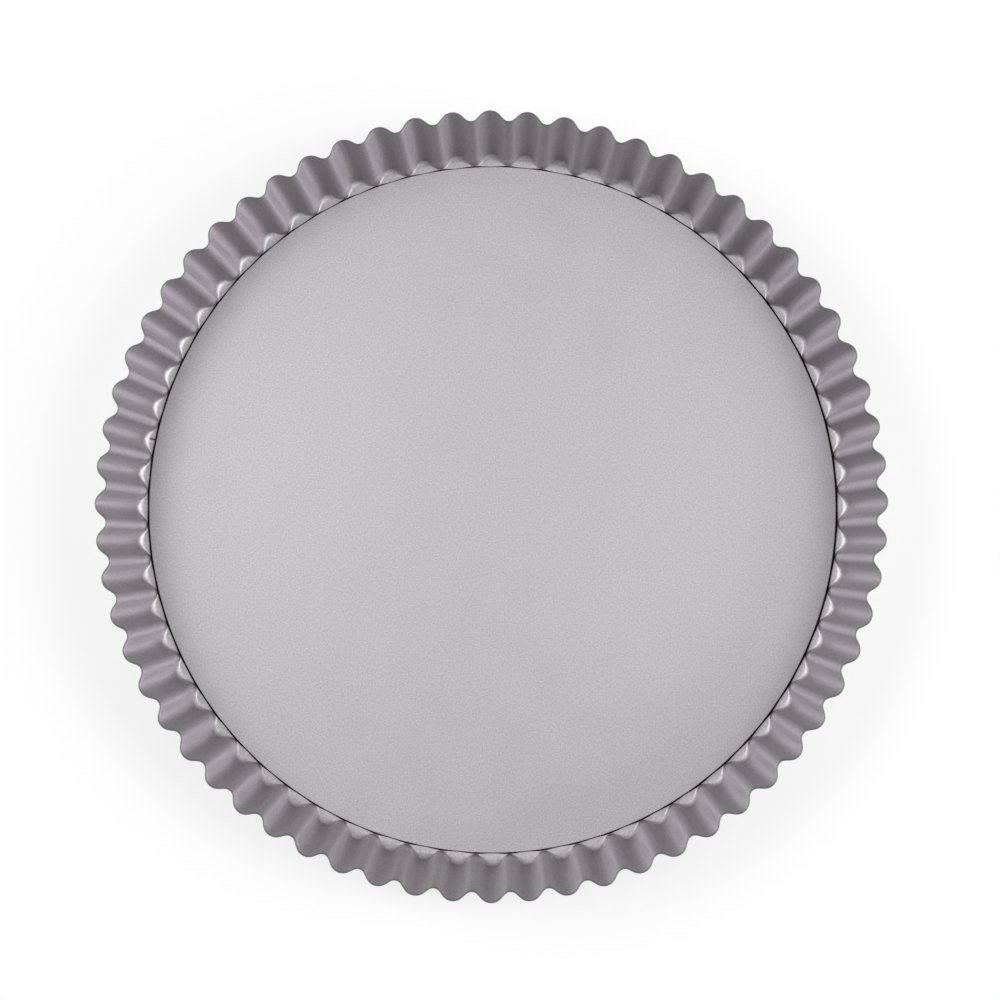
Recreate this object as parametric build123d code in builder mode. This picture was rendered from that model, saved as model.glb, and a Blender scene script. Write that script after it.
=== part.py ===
"""Fluted quiche dish: a fluted sheet-steel ring with an inward seat at its foot, and a flat loose base.

The dish stands on the XY plane, centred on the Z axis, and opens towards +Z. The base lifts straight up.
"""

import os
from math import acos, atan2, cos, degrees, pi, sin, tan

from build123d import *

# Driving dimensions of the ring, in millimetres
rim_diameter = 300.0  # over the outsides of the lobes, at the rim
dish_height = 35.0
wall_flare = 9.5  # how far the wall leans out between the table and the rim
ring_sheet = 0.8
inside_corner_radius = 0.8  # between wall and seat, inside the dish

# Flutes: lobes bulge outwards, and the ridges between them point inwards
flute_count = 64
flute_depth = 3.95  # from lobe to ridge, at the rim
flank_share = 0.07  # what the straight flanks take off the largest arcs that a flute has room for
lobe_share = 0.585  # of the radii of the two arcs, what the lobe takes

# Driving dimensions of the loose base, in millimetres
base_sheet = 1.0
base_clearance = 0.25  # between the base and the inside corner, at each ridge
seat_width = 8.0  # how far the base overlaps the seat that carries it
base_rounding_share = 0.3  # of the base's sheet, the radius of each edge

# How far a cut runs past the faces that it opens
cut_overrun = 5.0

# The sheet is measured square to the wall, and the outlines of the wall are level
wall_slope = atan2(wall_flare, dish_height)
half_wall = ring_sheet / cos(wall_slope) / 2

# One flute, in the middle of the sheet at the rim: a lobe's arc and a ridge's arc, half a pitch apart
lobe_reach = rim_diameter / 2 - half_wall
ridge_reach = lobe_reach - flute_depth
half_pitch = pi / flute_count
half_width = (lobe_reach + ridge_reach) / 2 * sin(half_pitch)
arc_radii = (1 - flank_share) * (flute_depth**2 + half_width**2) / (2 * flute_depth)
lobe_radius = lobe_share * arc_radii
ridge_radius = arc_radii - lobe_radius
lobe_centre = Vector(lobe_reach - lobe_radius, 0)
ridge_centre = Vector(ridge_reach + ridge_radius, 0).rotate(Axis.Z, degrees(half_pitch))

# A straight flank touches both arcs, and leaves each of them in the direction flank_normal
centre_gap = ridge_centre - lobe_centre
flank_angle = atan2(centre_gap.Y, centre_gap.X) - acos(arc_radii / centre_gap.length)
flank_normal = Vector(cos(flank_angle), sin(flank_angle))
flank_middle = (lobe_centre + flank_normal * lobe_radius + ridge_centre - flank_normal * ridge_radius) / 2

# Below the rim, the middle of the sheet is the same outline drawn smaller
foot_scale = 1 - wall_flare / lobe_reach


def outline_scale(height):
    """Size of the middle outline at a height, as a share of its size at the rim."""
    return foot_scale + (1 - foot_scale) * height / dish_height


def draw_three_flutes(height, outwards):
    """Draws three flutes of the wall at a height, moved outwards from the middle of the sheet, and closes
    them through the axis of the dish."""
    scale = outline_scale(height)
    pitch_angle = degrees(2 * half_pitch)

    # Moved outwards, the lobe's arc grows and the ridge's arc shrinks, and both keep their centres
    lobe_end = lobe_centre * scale + flank_normal * (lobe_radius * scale + outwards)
    lobe_tip = Vector(lobe_reach * scale + outwards, 0)
    lobe_start = Vector(lobe_end.X, -lobe_end.Y)
    ridge_start = ridge_centre * scale - flank_normal * (ridge_radius * scale - outwards)
    ridge_tip = Vector(ridge_reach * scale + outwards, 0).rotate(Axis.Z, degrees(half_pitch))
    ridge_end = Vector(ridge_start.X, -ridge_start.Y).rotate(Axis.Z, pitch_angle)

    with BuildLine(mode=Mode.PRIVATE) as one_flute_line:
        ThreePointArc(lobe_start, lobe_tip, lobe_end)
        Line(lobe_end, ridge_start)
        ThreePointArc(ridge_start, ridge_tip, ridge_end)
        Line(ridge_end, lobe_start.rotate(Axis.Z, pitch_angle))
    with PolarLocations(0, 3, start_angle=-pitch_angle, angular_range=2 * pitch_angle, endpoint=True):
        add(one_flute_line.line)
    Line(lobe_start.rotate(Axis.Z, 2 * pitch_angle), (0, 0))
    Line((0, 0), lobe_start.rotate(Axis.Z, -pitch_angle))


def foot_corner(block):
    """Edges of the flutes on a block's lowest face, without the two that meet on the axis."""
    return block.faces().sort_by(Axis.Z)[0].edges().sort_by_distance((0, 0, 0))[2:]


# The base stops short of the corner at the ridges, and the seat reaches in under it
ridge_at_seat = ridge_reach * outline_scale(ring_sheet) - half_wall
corner_reach = inside_corner_radius * tan((pi / 2 - wall_slope) / 2)
base_diameter = 2 * (ridge_at_seat - corner_reach - base_clearance)
opening_diameter = base_diameter - 2 * seat_width

# Outside of the wall
with BuildPart() as wall_outside:
    for height in (0, dish_height):
        with BuildSketch(Plane.XY.offset(height)):
            with BuildLine():
                draw_three_flutes(height, half_wall)
            make_face()
    loft(ruled=True)
    fillet(foot_corner(wall_outside), inside_corner_radius + ring_sheet)

# Inside of the wall and top of the seat
with BuildPart() as wall_inside:
    for height in (ring_sheet, dish_height + cut_overrun):
        with BuildSketch(Plane.XY.offset(height)):
            with BuildLine():
                draw_three_flutes(height, -half_wall)
            make_face()
    loft(ruled=True)
    fillet(foot_corner(wall_inside), inside_corner_radius)

# One flute's share of the ring, from the middle of one flank to the same place a pitch further
with BuildPart() as one_flute:
    add(wall_outside.part)
    add(wall_inside.part, mode=Mode.SUBTRACT)
    with BuildSketch():
        Circle(opening_diameter / 2)
    extrude(amount=ring_sheet + cut_overrun, both=True, mode=Mode.SUBTRACT)
    with BuildSketch():
        share_corner = flank_middle.normalized() * rim_diameter
        Polygon((0, 0), share_corner, share_corner.rotate(Axis.Z, degrees(2 * half_pitch)), align=None)
    extrude(amount=dish_height + cut_overrun, both=True, mode=Mode.INTERSECT)

# The skin of that share, without its two cut ends, goes all the way round and closes on itself
flat_faces = one_flute.faces().filter_by(GeomType.PLANE)
cut_ends = flat_faces - flat_faces.filter_by(Axis.Z)
flute_skin = one_flute.faces() - cut_ends
ring_skin = [place * face for place in PolarLocations(0, flute_count) for face in flute_skin]

with BuildPart() as fluted_ring:
    add(Solid(Shell(ring_skin)))

# Flat base with softened edges, lying on the seat
with BuildPart() as loose_base:
    with BuildSketch(Plane.XY.offset(ring_sheet)):
        Circle(base_diameter / 2)
    extrude(amount=base_sheet)
    fillet(loose_base.edges().filter_by(GeomType.CIRCLE), base_rounding_share * base_sheet)

os.makedirs("parts", exist_ok=True)

fluted_ring.part.label = "fluted_ring"
export_step(fluted_ring.part, "parts/fluted_ring.step")

loose_base.part.label = "loose_base"
export_step(loose_base.part, "parts/loose_base.step")
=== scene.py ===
import math
import bpy
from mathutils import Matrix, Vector


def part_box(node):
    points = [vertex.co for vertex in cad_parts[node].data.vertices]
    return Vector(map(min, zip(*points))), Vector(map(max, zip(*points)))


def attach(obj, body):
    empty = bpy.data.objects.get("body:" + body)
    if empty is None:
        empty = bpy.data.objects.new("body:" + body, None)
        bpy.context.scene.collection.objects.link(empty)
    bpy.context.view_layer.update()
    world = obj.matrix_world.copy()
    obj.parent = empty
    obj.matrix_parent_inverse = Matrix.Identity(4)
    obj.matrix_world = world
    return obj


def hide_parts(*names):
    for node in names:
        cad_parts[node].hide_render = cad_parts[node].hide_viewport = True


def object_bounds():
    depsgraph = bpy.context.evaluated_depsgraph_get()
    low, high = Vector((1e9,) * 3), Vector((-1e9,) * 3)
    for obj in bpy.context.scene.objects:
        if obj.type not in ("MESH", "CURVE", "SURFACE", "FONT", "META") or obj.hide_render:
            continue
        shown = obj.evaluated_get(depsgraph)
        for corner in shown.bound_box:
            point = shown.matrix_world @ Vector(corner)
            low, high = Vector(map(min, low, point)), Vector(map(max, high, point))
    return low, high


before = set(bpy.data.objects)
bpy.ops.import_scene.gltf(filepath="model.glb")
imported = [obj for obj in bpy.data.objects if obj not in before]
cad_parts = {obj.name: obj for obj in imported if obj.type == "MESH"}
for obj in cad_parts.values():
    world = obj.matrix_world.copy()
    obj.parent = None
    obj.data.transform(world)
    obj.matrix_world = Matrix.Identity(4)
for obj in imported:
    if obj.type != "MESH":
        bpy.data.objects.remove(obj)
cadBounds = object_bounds()
mm = 0.001


# helpers for node trees: a value that is a socket is linked, and any other is typed in
def feed(tree, socket, value):
    if isinstance(value, bpy.types.NodeSocket):
        tree.links.new(value, socket)
    else:
        socket.default_value = value


def put(tree, kind, inputs=None, **settings):
    node = tree.nodes.new(kind)
    for setting, value in settings.items():
        setattr(node, setting, value)
    for name, value in (inputs or {}).items():
        feed(tree, node.inputs[name], value)
    return node


def calc(tree, operation, *values):
    node = put(tree, "ShaderNodeMath", dict(enumerate(values)), operation=operation)
    return node.outputs[0]


def vectorCalc(tree, operation, *values):
    node = put(tree, "ShaderNodeVectorMath", dict(enumerate(values)), operation=operation)
    return node.outputs[0]


def scaled(tree, vector, factor):
    return put(tree, "ShaderNodeVectorMath", {0: vector, "Scale": factor}, operation="SCALE").outputs[0]


def mixed(tree, factor, first, second):
    # first where the factor is 0, second where it is 1
    node = put(tree, "ShaderNodeMix", {"Factor": factor, "A": first, "B": second}, data_type="FLOAT")
    return node.outputs[0]


def ramp(tree, value, start, end, low=0.0, high=1.0, curve="LINEAR"):
    # low where the value is at the start, high where it is at the end
    node = put(tree, "ShaderNodeMapRange", {
        "Value": value, "From Min": start, "From Max": end, "To Min": low, "To Max": high},
        interpolation_type=curve)
    return node.outputs[0]


def joined(tree, x, y, z):
    return put(tree, "ShaderNodeCombineXYZ", {"X": x, "Y": y, "Z": z}).outputs[0]


def keep(tree, geometry, name, value, kind="FLOAT"):
    # stores a value on every point, to be read further down the tree
    inputs = {"Geometry": geometry, "Name": name, "Value": value}
    node = put(tree, "GeometryNodeStoreNamedAttribute", inputs, data_type=kind, domain="POINT")
    return node.outputs["Geometry"]


def kept(tree, name, kind="FLOAT"):
    node = put(tree, "GeometryNodeInputNamedAttribute", {"Name": name}, data_type=kind)
    return node.outputs["Attribute"]


def pickByIndex(tree, kind, values):
    number = put(tree, "GeometryNodeInputIndex").outputs[0]
    node = put(tree, "GeometryNodeIndexSwitch", {"Index": number}, data_type=kind)
    while len(node.index_switch_items) < len(values):
        node.index_switch_items.new()
    for entry, value in enumerate(values):
        feed(tree, node.inputs[entry + 1], value)
    return node.outputs[0]


def startTree(name, sizes):
    tree = bpy.data.node_groups.new(name, "GeometryNodeTree")
    for label, value in sizes.items():
        kind = "NodeSocketInt" if isinstance(value, int) else "NodeSocketFloat"
        tree.interface.new_socket(label, in_out="INPUT", socket_type=kind)
    tree.interface.new_socket("Material", in_out="INPUT", socket_type="NodeSocketMaterial")
    tree.interface.new_socket("Geometry", in_out="OUTPUT", socket_type="NodeSocketGeometry")
    return tree, tree.nodes.new("NodeGroupInput").outputs, tree.nodes.new("NodeGroupOutput")


treeNotes = ("spoke", "path", "side", "out", "up", "lobe")  # what trees keep on points while they run


def growMesh(name, tree, sizes, material):
    # runs the tree on an empty object and keeps its result as a plain mesh
    maker = bpy.data.objects.new(name + "Maker", bpy.data.meshes.new(name + "Maker"))
    bpy.context.scene.collection.objects.link(maker)
    modifier = maker.modifiers.new("grow", "NODES")
    modifier.node_group = tree
    for socket in tree.interface.items_tree:
        if socket.in_out == "INPUT":
            modifier[socket.identifier] = sizes.get(socket.name, material)
    grown = bpy.data.meshes.new_from_object(maker.evaluated_get(bpy.context.evaluated_depsgraph_get()))
    grown.name = name
    bpy.data.objects.remove(maker)
    for attribute in [a.name for a in grown.attributes if a.name in treeNotes]:
        grown.attributes.remove(grown.attributes[attribute])
    piece = bpy.data.objects.new(name, grown)
    bpy.context.scene.collection.objects.link(piece)
    return piece


# coated steel: a satin metallic coat with a fine grain and, on the ring, a few marks of use
coatLook = {
    "colour": (0.49, 0.464, 0.492),
    "metallic": 1.0,
    "roughness": 0.55,
    "gloss": 0.5,  # of a clear coat over the metal flakes
    "glossRoughness": 0.3,
    "roughnessSpread": 0.04,
    "grain": 0.6 * mm,
    "grainContrast": 0.16,
    "grainDepth": 0.02 * mm,
    "patches": 18.0 * mm,
    "patchContrast": 0.02,
}
# places of the marks are on the level, in metres from the middle of the dish
ringMarks = [
    {
        "start": (-0.1353, 0.0274),
        "end": (-0.1328, 0.0268),
        "reach": 0.65 * mm,
        "colour": (0.07, 0.02, 0.006),
        "cover": 1.0,
    },
    {
        "start": (0.0268, -0.1372),
        "end": (0.0270, -0.1375),
        "reach": 0.45 * mm,
        "colour": (0.45, 0.16, 0.05),
        "cover": 0.7,
    },
]
# painted shade: the top of the rim is painted dark along its rounded edge
rimEdgeShade = {"colour": (0.12, 0.11, 0.12), "reach": 0.3 * mm, "cover": 0.9}
# painted shadow in the ring's corner beside the base, where the gap between them lies in shade; wider at
# the ridges than in the lobes
gapShadow = {
    "colour": (0.018, 0.012, 0.014),
    "start": 134.9 * mm,
    "ridgeReach": 136.1 * mm,
    "lobeReach": 135.68 * mm,
    "ridgeSideReach": 0.3 * mm,  # more on the left and right
    "lobeSideReach": 0.57 * mm,
    "widerOnRight": 0.05 * mm,  # the painted shadow is a little wider on the right
    "softness": 0.12 * mm,
    "bottom": 0.4 * mm,
    "top": 2.2 * mm,
    "flutes": 64,
}


def nearLine(tree, place, start, end, reach):
    # 1 on a line between two points on the level, falling to 0 at the reach
    along = Vector((end[0] - start[0], end[1] - start[1], 0))
    perLength = along / along.length_squared
    level = vectorCalc(tree, "MULTIPLY", place, (1.0, 1.0, 0.0))
    out = vectorCalc(tree, "SUBTRACT", level, (start[0], start[1], 0.0))
    dot = put(tree, "ShaderNodeVectorMath", {0: out, 1: perLength}, operation="DOT_PRODUCT")
    share = put(tree, "ShaderNodeClamp", {"Value": dot.outputs["Value"]}).outputs[0]
    nearest = scaled(tree, along, share)
    gap = put(tree, "ShaderNodeVectorMath", {0: out, 1: nearest}, operation="DISTANCE")
    return ramp(tree, gap.outputs["Value"], reach, 0.0, curve="SMOOTHSTEP")


def painted(tree, factor, under, over):
    node = put(tree, "ShaderNodeMix", {0: factor, 6: under}, data_type="RGBA")
    node.inputs[7].default_value = (*over, 1)
    return node.outputs[2]


def onFlutes(tree, place, flutes):
    # the distance from the axis, and a wave that is 1 in the lobes and -1 at the ridges
    apart = put(tree, "ShaderNodeSeparateXYZ", {0: place}).outputs
    level = vectorCalc(tree, "MULTIPLY", place, (1.0, 1.0, 0.0))
    away = put(tree, "ShaderNodeVectorMath", {0: level}, operation="LENGTH").outputs["Value"]
    turn = calc(tree, "MULTIPLY", calc(tree, "ARCTAN2", apart["Y"], apart["X"]), float(flutes))
    return apart, away, calc(tree, "COSINE", turn)


def inGapShadow(tree, place, gapShadow):
    # 1 in the painted shadow beside the base and 0 outside it
    apart, away, wave = onFlutes(tree, place, gapShadow["flutes"])
    sideways = calc(tree, "DIVIDE", apart["X"], away)
    sides = calc(tree, "MULTIPLY", sideways, sideways)
    ridgeReach = calc(tree, "MULTIPLY_ADD", sides, gapShadow["ridgeSideReach"], gapShadow["ridgeReach"])
    lobeReach = calc(tree, "MULTIPLY_ADD", sides, gapShadow["lobeSideReach"], gapShadow["lobeReach"])
    reach = ramp(tree, wave, -1.0, 1.0, ridgeReach, lobeReach)
    reach = calc(tree, "MULTIPLY_ADD", sideways, gapShadow["widerOnRight"], reach)
    past = calc(tree, "SUBTRACT", away, reach)
    within = ramp(tree, past, gapShadow["softness"], -gapShadow["softness"], curve="SMOOTHSTEP")
    beyond = calc(tree, "GREATER_THAN", away, gapShadow["start"])
    below = calc(tree, "LESS_THAN", apart["Z"], gapShadow["top"])
    above = calc(tree, "GREATER_THAN", apart["Z"], gapShadow["bottom"])
    inCorner = calc(tree, "MULTIPLY", calc(tree, "MULTIPLY", beyond, below), above)
    return calc(tree, "MULTIPLY", within, inCorner)


# in the lobes the seat rises a little towards the wall, and its corner and the feet of the ridges are
# painted lighter, as painted light
seatRiseAndPaintedLight = {
    "start": 135.9 * mm,
    "width": 4.2 * mm,
    "height": 0.5 * mm,
    "paintedLight": 0.62,
    "lessAtSides": 0.3,
    "flat": 0.85 * mm,
    "cornerFrom": 1.15 * mm,
    "cornerTo": 2.2 * mm,
    "top": 2.9 * mm,
    "paintedLightRidge": 0.4,
    "ridgeFrom": 1.5 * mm,
    "ridgeTo": 9.0 * mm,
    "flutes": 64,
    "lobeFrom": -0.4,  # on the wave of the flutes, where the rise begins and where it is full
    "lobeFull": 0.6,
}


def risenSeatAndPaintedLight(tree, place, rise):
    # how high the seat has risen, and how much painted light brightens its colour
    apart, away, wave = onFlutes(tree, place, rise["flutes"])
    lobe = ramp(tree, wave, rise["lobeFrom"], rise["lobeFull"])
    full = rise["start"] + rise["width"]
    risen = ramp(tree, away, rise["start"], full, high=rise["height"], curve="SMOOTHSTEP")
    sideways = calc(tree, "DIVIDE", apart["X"], away)
    sides = calc(tree, "MULTIPLY", sideways, sideways)
    most = calc(tree, "MULTIPLY_ADD", sides, -rise["lessAtSides"], rise["paintedLight"])
    paintedLight = ramp(tree, apart["Z"], rise["flat"], rise["cornerFrom"], high=most)
    fading = ramp(tree, apart["Z"], rise["top"], rise["cornerTo"])
    paintedLight = calc(tree, "MULTIPLY", calc(tree, "MULTIPLY", paintedLight, fading), lobe)
    low = ramp(tree, apart["Z"], rise["ridgeTo"], rise["ridgeFrom"], high=rise["paintedLightRidge"],
               curve="SMOOTHSTEP")
    onWall = calc(tree, "GREATER_THAN", apart["Z"], rise["flat"])
    ridge = calc(tree, "SUBTRACT", 1.0, lobe)
    paintedLight = calc(tree, "MULTIPLY_ADD", calc(tree, "MULTIPLY", low, ridge), onWall, paintedLight)
    return calc(tree, "MULTIPLY", risen, lobe), paintedLight


def noiseAt(tree, place, size, detail):
    node = put(tree, "ShaderNodeTexNoise", {"Vector": place, "Scale": 1 / size, "Detail": detail})
    return node.outputs["Fac"]


def spread(tree, pattern, reach, middle):
    # most of a noise lies within a quarter of its middle, 0.5, and that swings by the reach
    return calc(tree, "MULTIPLY_ADD", calc(tree, "SUBTRACT", pattern, 0.5), 4 * reach, middle)


def coatMaterial(name, look, marks=(), edge=None, edgeHeight=0.0, gapShadow=None, rise=None):
    material = bpy.data.materials.new(name)
    material.use_nodes = True
    tree = material.node_tree
    shader = tree.nodes["Principled BSDF"]
    place = put(tree, "ShaderNodeTexCoord").outputs["Object"]
    grain = noiseAt(tree, place, look["grain"], 1.0)
    patches = noiseAt(tree, place, look["patches"], 3.0)
    shade = spread(tree, grain, look["grainContrast"], 1.0)
    shade = spread(tree, patches, look["patchContrast"], shade)
    relief = calc(tree, "MULTIPLY", grain, look["grainDepth"])
    if rise:
        risen, paintedLight = risenSeatAndPaintedLight(tree, place, rise)
        relief = calc(tree, "ADD", relief, risen)
        # painted light: the corners of the lobes and the feet of the ridges are painted lighter
        shade = calc(tree, "MULTIPLY", shade, calc(tree, "ADD", paintedLight, 1.0))
    colour = scaled(tree, look["colour"], shade)
    dull = 0.0
    for mark in marks:
        near = nearLine(tree, place, mark["start"], mark["end"], mark["reach"])
        cover = calc(tree, "MULTIPLY", near, mark["cover"])
        colour = painted(tree, cover, colour, mark["colour"])
        dull = calc(tree, "MAXIMUM", dull, cover)
    if edge:
        # painted shade along the top of the rim
        height = put(tree, "ShaderNodeSeparateXYZ", {0: place}).outputs["Z"]
        cover = ramp(tree, height, edgeHeight - edge["reach"], edgeHeight, high=edge["cover"])
        colour = painted(tree, cover, colour, edge["colour"])
    if gapShadow:
        # painted shadow in the gap beside the base, which also takes the gloss away
        cover = inGapShadow(tree, place, gapShadow)
        colour = painted(tree, cover, colour, gapShadow["colour"])
        dull = calc(tree, "MAXIMUM", dull, cover)
    gloss = calc(tree, "MULTIPLY_ADD", dull, -look["gloss"], look["gloss"])
    tree.links.new(gloss, shader.inputs["Coat Weight"])
    tree.links.new(colour, shader.inputs["Base Color"])
    rough = spread(tree, patches, look["roughnessSpread"], look["roughness"])
    tree.links.new(rough, shader.inputs["Roughness"])
    shader.inputs["Metallic"].default_value = look["metallic"]
    shader.inputs["Coat Roughness"].default_value = look["glossRoughness"]
    bump = put(tree, "ShaderNodeBump", {"Height": relief, "Distance": 1.0})
    tree.links.new(bump.outputs[0], shader.inputs["Normal"])
    return material


# fluted ring: the folded outline runs round, and the section of the sheet is carried along it
ringSizes = {
    "Flute Count": 64,
    "Points Per Flute": 30,
    "Rim Radius": cadBounds[1].x,
    "Height": cadBounds[1].z,
    "Flare": 9.5 * mm,
    "Sheet": 0.8 * mm,
    "Flute Depth": 3.95 * mm,
    "Lobe Corner": 1.9 * mm,
    "Ridge Corner": 0.3 * mm,
    "Rim Rounding": 0.37 * mm,
    "Opening Radius": 127.3 * mm,
    "Corner Blend": 1.6,  # how soon the lobe's corner turns into the ridge's: above 1, near the lobe
    "Pitch Scatter": 0.16,
    "Depth Scatter": 0.12 * mm,
    "Scatter Scale": 9.0,
    "Seed": 4.0,
}
# of the flute's depth, the first four waves of the folded outline
waveShares = (0.5225, -0.04, -0.0235, 0.0088)
cornerSteps = 8
edgeSteps = 3
wallRows = 8
justPast = 1.01
justShort = 0.99


def flutedRingTree(sizes):
    tree, size, out = startTree("flutedRing", sizes)
    halfSheet = calc(tree, "MULTIPLY", size["Sheet"], 0.5)
    lobeReach = calc(tree, "SUBTRACT", size["Rim Radius"], halfSheet)

    # a circle of radius 1 whose points know their direction from the axis
    steps = calc(tree, "MULTIPLY", size["Flute Count"], size["Points Per Flute"])
    circle = put(tree, "GeometryNodeCurvePrimitiveCircle", {"Resolution": steps, "Radius": 1.0})
    circle = circle.outputs[0]
    place = put(tree, "GeometryNodeInputPosition").outputs[0]
    circle = keep(tree, circle, "spoke", place, "FLOAT_VECTOR")
    apart = put(tree, "ShaderNodeSeparateXYZ", {0: place})
    turn = calc(tree, "ARCTAN2", apart.outputs["Y"], apart.outputs["X"])

    # slow noise round the circle makes the pressing a little uneven from flute to flute
    def scatter(shift):
        seed = calc(tree, "ADD", size["Seed"], shift)
        noise = put(tree, "ShaderNodeTexNoise", {
            "Vector": place, "W": seed, "Scale": size["Scatter Scale"], "Detail": 1.0},
            noise_dimensions="4D")
        return calc(tree, "MULTIPLY_ADD", noise.outputs["Fac"], 2.0, -1.0)

    phase = calc(tree, "MULTIPLY", turn, size["Flute Count"])
    phase = calc(tree, "ADD", phase, calc(tree, "MULTIPLY", scatter(0.0), size["Pitch Scatter"]))
    wave = 0.0
    for number, share in enumerate(waveShares):
        turnOfWave = calc(tree, "MULTIPLY", phase, number + 1.0)
        wave = calc(tree, "MULTIPLY_ADD", calc(tree, "COSINE", turnOfWave), share, wave)
    waveAtLobe = sum(waveShares)
    waveAtRidge = sum(share * (-1) ** (number + 1) for number, share in enumerate(waveShares))
    lobe = ramp(tree, wave, waveAtRidge, waveAtLobe)
    circle = keep(tree, circle, "lobe", lobe)
    inwards = calc(tree, "MULTIPLY", calc(tree, "SUBTRACT", wave, waveAtLobe), size["Flute Depth"])
    uneven = calc(tree, "MULTIPLY", calc(tree, "ABSOLUTE", scatter(20.0)), size["Depth Scatter"])
    inwards = calc(tree, "SUBTRACT", inwards, uneven)
    folded = scaled(tree, place, calc(tree, "ADD", lobeReach, inwards))
    outline = put(tree, "GeometryNodeSetPosition", {"Geometry": circle, "Position": folded}).outputs[0]
    outline = put(tree, "GeometryNodeSetCurveNormal", {"Curve": outline}, mode="Z_UP").outputs[0]
    position = put(tree, "GeometryNodeInputPosition").outputs[0]
    normal = put(tree, "GeometryNodeInputNormal").outputs[0]
    outline = keep(tree, outline, "path", position, "FLOAT_VECTOR")
    outline = keep(tree, outline, "side", normal, "FLOAT_VECTOR")

    # section of the sheet: x is outwards from its middle and y is up. The seat is drawn a few corners
    # long, and its edge is put in place further down. Each corner has its place, its rounding, the steps
    # of that rounding and the rows on the straight run that follows it
    inside = calc(tree, "MULTIPLY", halfSheet, -1.0)
    edge = calc(tree, "SUBTRACT", inside, calc(tree, "MULTIPLY", size["Lobe Corner"], 3.0))
    outerCorner = calc(tree, "ADD", size["Lobe Corner"], size["Sheet"])
    edgeRounding = calc(tree, "MULTIPLY", size["Sheet"], 0.3)
    corners = [
        (halfSheet, size["Height"], size["Rim Rounding"], edgeSteps, 0),
        (inside, size["Height"], size["Rim Rounding"], edgeSteps, wallRows),
        (inside, size["Sheet"], size["Lobe Corner"], cornerSteps, 0),
        (edge, size["Sheet"], edgeRounding, edgeSteps, 0),
        (edge, 0.0, edgeRounding, edgeSteps, 0),
        (halfSheet, 0.0, outerCorner, cornerSteps, wallRows),
    ]
    section = put(tree, "GeometryNodeMeshLine", {"Count": len(corners)}).outputs[0]
    places = [joined(tree, corner[0], corner[1], 0.0) for corner in corners]
    places = pickByIndex(tree, "VECTOR", places)
    section = put(tree, "GeometryNodeSetPosition", {"Geometry": section, "Position": places}).outputs[0]
    section = put(tree, "GeometryNodeMeshToCurve", {"Mesh": section}).outputs[0]
    section = put(tree, "GeometryNodeSetSplineCyclic", {"Geometry": section, "Cyclic": True}).outputs[0]
    section = put(tree, "GeometryNodeFilletCurve", {
        "Curve": section, "Radius": pickByIndex(tree, "FLOAT", [corner[2] for corner in corners]),
        "Count": pickByIndex(tree, "INT", [corner[3] for corner in corners])}, mode="POLY").outputs[0]
    number = put(tree, "GeometryNodeInputIndex").outputs[0]
    cuts = 0.0
    lastPoint = -1
    for corner in corners:
        lastPoint += corner[3] + 1
        isLast = calc(tree, "COMPARE", number, float(lastPoint), 0.1)
        cuts = calc(tree, "MULTIPLY_ADD", isLast, float(corner[4]), cuts)
    section = put(tree, "GeometryNodeSubdivideCurve", {"Curve": section, "Cuts": cuts}).outputs[0]
    apart = put(tree, "ShaderNodeSeparateXYZ", {0: put(tree, "GeometryNodeInputPosition").outputs[0]})
    section = keep(tree, section, "out", apart.outputs["X"])
    section = keep(tree, section, "up", apart.outputs["Y"])
    ring = put(tree, "GeometryNodeCurveToMesh", {"Curve": outline, "Profile Curve": section}).outputs[0]

    # the corner at the foot is rounder in the lobes than at the ridges
    outAt, upAt, lobeAt = kept(tree, "out"), kept(tree, "up"), kept(tree, "lobe")
    cornerAt = calc(tree, "POWER", lobeAt, size["Corner Blend"])
    corner = mixed(tree, cornerAt, size["Ridge Corner"], size["Lobe Corner"])

    def tightened(cornerOut, cornerUp, widest, radius):
        outwards = calc(tree, "SUBTRACT", outAt, cornerOut)
        upwards = calc(tree, "SUBTRACT", upAt, cornerUp)
        reach = calc(tree, "MAXIMUM", calc(tree, "ABSOLUTE", outwards), calc(tree, "ABSOLUTE", upwards))
        isCorner = calc(tree, "LESS_THAN", reach, calc(tree, "MULTIPLY", widest, justPast))
        factor = mixed(tree, isCorner, 1.0, calc(tree, "DIVIDE", radius, widest))
        return (calc(tree, "MULTIPLY_ADD", outwards, factor, cornerOut),
                calc(tree, "MULTIPLY_ADD", upwards, factor, cornerUp))

    insideOut, insideUp = tightened(inside, size["Sheet"], size["Lobe Corner"], corner)
    outside = calc(tree, "ADD", corner, size["Sheet"])
    outsideOut, outsideUp = tightened(halfSheet, 0.0, outerCorner, outside)
    isInside = calc(tree, "LESS_THAN", outAt, calc(tree, "MULTIPLY", inside, justShort))
    isAbove = calc(tree, "GREATER_THAN", upAt, calc(tree, "MULTIPLY", size["Sheet"], justShort))
    isInner = calc(tree, "MULTIPLY", isInside, isAbove)
    outAt = mixed(tree, isInner, outsideOut, insideOut)
    upAt = mixed(tree, isInner, outsideUp, insideUp)

    # the wall leans: every level below the rim is the same outline drawn smaller
    below = calc(tree, "SUBTRACT", 1.0, calc(tree, "DIVIDE", upAt, size["Height"]))
    shrink = calc(tree, "MULTIPLY", calc(tree, "DIVIDE", size["Flare"], lobeReach), below)
    level = scaled(tree, kept(tree, "path", "FLOAT_VECTOR"), calc(tree, "SUBTRACT", 1.0, shrink))
    wall = vectorCalc(tree, "ADD", level, scaled(tree, kept(tree, "side", "FLOAT_VECTOR"), outAt))
    wall = vectorCalc(tree, "ADD", wall, joined(tree, 0.0, 0.0, upAt))

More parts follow.
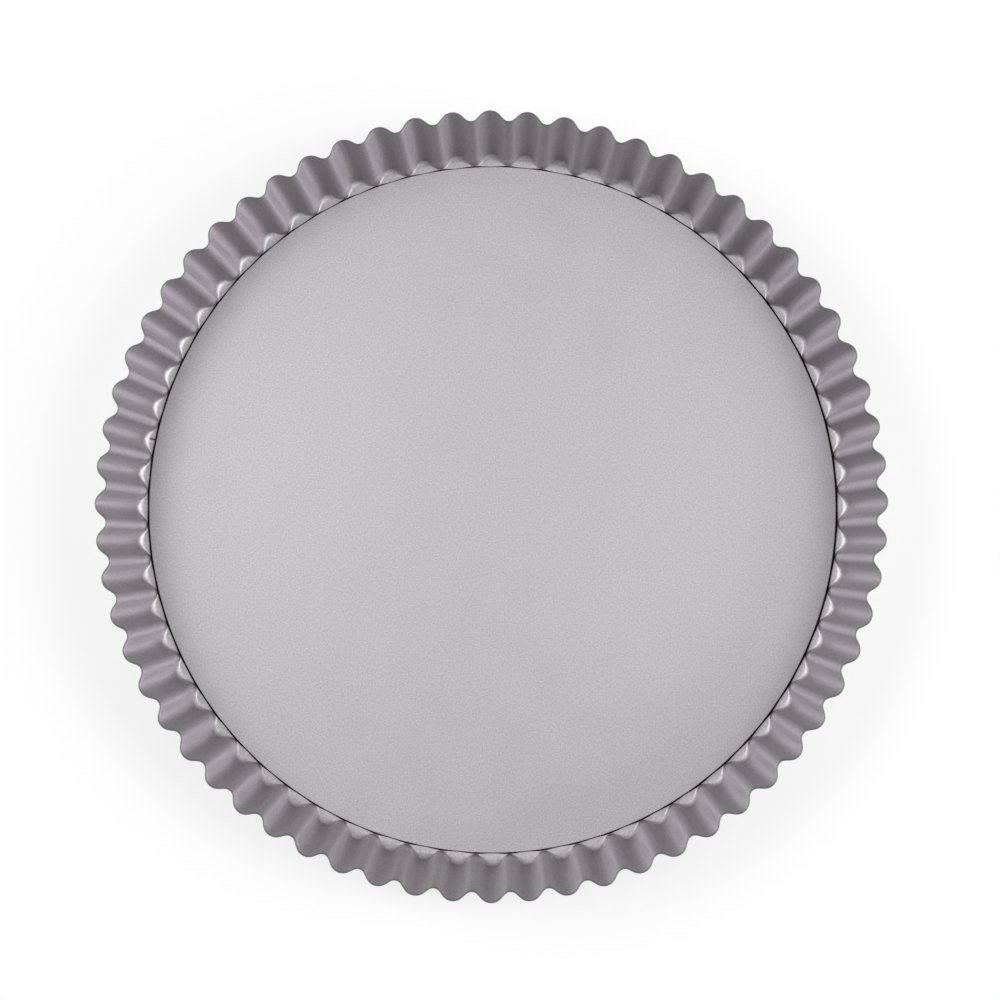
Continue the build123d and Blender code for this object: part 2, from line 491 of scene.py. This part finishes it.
    # the edge of the seat is a plain circle
    seatEnd = calc(tree, "ADD", edge, calc(tree, "MULTIPLY", size["Lobe Corner"], 0.5))
    isSeatEdge = calc(tree, "LESS_THAN", kept(tree, "out"), seatEnd)
    fromEdge = calc(tree, "SUBTRACT", kept(tree, "out"), edge)
    edgeRadius = calc(tree, "ADD", size["Opening Radius"], fromEdge)
    seat = vectorCalc(tree, "ADD", scaled(tree, kept(tree, "spoke", "FLOAT_VECTOR"), edgeRadius),
                      joined(tree, 0.0, 0.0, kept(tree, "up")))
    place = put(tree, "ShaderNodeMix", {0: isSeatEdge, 4: wall, 5: seat}, data_type="VECTOR").outputs[1]
    ring = put(tree, "GeometryNodeSetPosition", {"Geometry": ring, "Position": place}).outputs[0]
    ring = put(tree, "GeometryNodeSetShadeSmooth", {"Geometry": ring}).outputs[0]
    ring = put(tree, "GeometryNodeRealizeInstances", {"Geometry": ring}).outputs[0]
    coated = put(tree, "GeometryNodeSetMaterial", {"Geometry": ring, "Material": size["Material"]})
    tree.links.new(coated.outputs[0], out.inputs["Geometry"])
    return tree


ringCoat = coatMaterial("coatedSteelRing", coatLook, ringMarks, edge=rimEdgeShade,
                        edgeHeight=ringSizes["Height"], gapShadow=gapShadow, rise=seatRiseAndPaintedLight)
ring = growMesh("flutedRing", flutedRingTree(ringSizes), ringSizes, ringCoat)
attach(ring, "ring")
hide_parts("fluted_ring")
print("fluted ring made:", len(ring.data.polygons), "faces")

# loose base: a flat disc turned from the section of its sheet
discLook = {"rounding": 0.12 * mm, "edgeSteps": 5, "around": 512}


def discSection(low, high, rounding, steps):
    # from the middle of the underside, round the edge and back to the middle of the top
    reach = high.x - rounding
    section = [(0, low.z), (reach - rounding, low.z)]
    for z, start in ((low.z + rounding, -90), (high.z - rounding, 0)):
        for step in range(steps + 1):
            angle = math.radians(start + 90 * step / steps)
            section.append((reach + rounding * math.cos(angle), z + rounding * math.sin(angle)))
    return section + [(reach - rounding, high.z), (0, high.z)]


def turnedMesh(name, section, around):
    # the section's two ends lie on the axis, where fans of triangles close the mesh
    rings = section[1:-1]
    points = [(0, 0, section[0][1]), (0, 0, section[-1][1])]
    for radius, z in rings:
        for step in range(around):
            turn = 2 * math.pi * step / around
            points.append((radius * math.cos(turn), radius * math.sin(turn), z))
    faces = []
    for step in range(around):
        here, there = 2 + step, 2 + (step + 1) % around
        faces.append((0, there, here))
        for level in range(len(rings) - 1):
            low, high = level * around, (level + 1) * around
            faces.append((here + low, there + low, there + high, here + high))
        faces.append((1, here + high, there + high))
    mesh = bpy.data.meshes.new(name)
    mesh.from_pydata(points, [], faces)
    mesh.shade_smooth()
    return mesh


low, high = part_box("loose_base")
discMesh = turnedMesh("looseBase", discSection(low, high, discLook["rounding"], discLook["edgeSteps"]),
                      discLook["around"])
baseLook = dict(coatLook, colour=(0.518, 0.488, 0.524))  # the same coat, painted a little lighter as a lit copy of the ring's coat
discMesh.materials.append(coatMaterial("coatedSteelBase", baseLook))
disc = bpy.data.objects.new("looseBase", discMesh)
bpy.context.scene.collection.objects.link(disc)
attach(disc, "base")
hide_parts("loose_base")
print("loose base made:", len(discMesh.polygons), "faces")

# floor of pale paper
floorLook = {"reach": 3.0, "colour": (0.93, 0.925, 0.94), "roughness": 0.9, "whitened": 0.6}
floorMesh = bpy.data.meshes.new("floor")
reach = floorLook["reach"]
floorCorners = [(-reach, -reach, 0), (reach, -reach, 0), (reach, reach, 0), (-reach, reach, 0)]
floorMesh.from_pydata(floorCorners, [], [(0, 1, 2, 3)])
floor = bpy.data.objects.new("floor", floorMesh)
bpy.context.scene.collection.objects.link(floor)


def paperMaterial(name, look):
    # to the camera and in reflections the paper reads partly as plain white
    material = bpy.data.materials.new(name)
    material.use_nodes = True
    tree = material.node_tree
    paper = tree.nodes["Principled BSDF"]
    paper.inputs["Base Color"].default_value = (*look["colour"], 1)
    paper.inputs["Roughness"].default_value = look["roughness"]
    ray = put(tree, "ShaderNodeLightPath").outputs
    mirrored = calc(tree, "MAXIMUM", ray["Is Glossy Ray"], ray["Is Transmission Ray"])
    seen = calc(tree, "MAXIMUM", ray["Is Camera Ray"], mirrored)
    share = calc(tree, "MULTIPLY", seen, look["whitened"])
    white = put(tree, "ShaderNodeEmission", {"Color": (1, 1, 1, 1), "Strength": 1.0}).outputs[0]
    both = put(tree, "ShaderNodeMixShader", {0: share, 1: paper.outputs[0], 2: white})
    tree.links.new(both.outputs[0], tree.nodes["Material Output"].inputs["Surface"])
    return material


floorMesh.materials.append(paperMaterial("floorPaper", floorLook))
print("floor laid:", 2 * floorLook["reach"], "m wide")

# light: a dim white room and softboxes, each turned towards the middle of the dish
roomLight = {"colour": (1, 1, 1, 1), "strength": 0.15}
world = bpy.data.worlds.new("studio")
world.use_nodes = True
world.node_tree.nodes["Background"].inputs["Color"].default_value = roomLight["colour"]
world.node_tree.nodes["Background"].inputs["Strength"].default_value = roomLight["strength"]
bpy.context.scene.world = world

softboxes = {
    "right": {"azimuth": 0, "height": 54, "away": 1.3, "width": 0.45, "length": 0.45, "watts": 4.9},
    "rightLow": {"azimuth": -5, "height": 30, "away": 1.3, "width": 0.6, "length": 0.45, "watts": 4.6},
    "rightFront": {"azimuth": -30, "height": 30, "away": 1.3, "width": 0.45, "length": 0.45, "watts": 3.3},
    "left": {"azimuth": 168, "height": 54, "away": 1.3, "width": 0.8, "length": 0.45, "watts": 6.5},
    "leftLow": {"azimuth": 168, "height": 30, "away": 1.3, "width": 0.9, "length": 0.45, "watts": 4.9},
    "back": {"azimuth": 90, "height": 45, "away": 1.3, "width": 1.2, "length": 0.5, "watts": 1.3},
    "above": {"azimuth": 90, "height": 88, "away": 1.3, "width": 0.6, "length": 0.6, "watts": 1.3},
}
for name, box in softboxes.items():
    lamp = bpy.data.lights.new(name + "Softbox", "AREA")
    lamp.shape = "RECTANGLE"
    lamp.size = box["width"]
    lamp.size_y = box["length"]
    lamp.energy = box["watts"]
    azimuth = math.radians(box["azimuth"])
    height = math.radians(box["height"])
    level = box["away"] * math.cos(height)
    rise = box["away"] * math.sin(height)
    place = Vector((level * math.cos(azimuth), level * math.sin(azimuth), rise))
    softbox = bpy.data.objects.new(name + "Softbox", lamp)
    softbox.location = place
    softbox.rotation_euler = (-place).to_track_quat("-Z", "Y").to_euler()
    bpy.context.scene.collection.objects.link(softbox)

print("softboxes hung:", len(softboxes))

# camera above the dish: its place in millimetres, its turn in degrees, and the focal length in pixels
cameraPlace = {
    "position": (11.65, -36.2, 780.0),
    "turn": (2.861, 0.627, -0.1),
    "focal": 1975.7,
    "pictureWidth": 1000,
}
eye = bpy.data.cameras.new("photoCamera")
eye.sensor_width = 36.0
eye.lens = cameraPlace["focal"] / cameraPlace["pictureWidth"] * eye.sensor_width
camera = bpy.data.objects.new("photoCamera", eye)
camera.location = [value * mm for value in cameraPlace["position"]]
camera.rotation_euler = [math.radians(angle) for angle in cameraPlace["turn"]]
bpy.context.scene.collection.objects.link(camera)
bpy.context.scene.camera = camera
bpy.context.scene.view_settings.view_transform = "Standard"
print("camera set:", cameraPlace["position"])
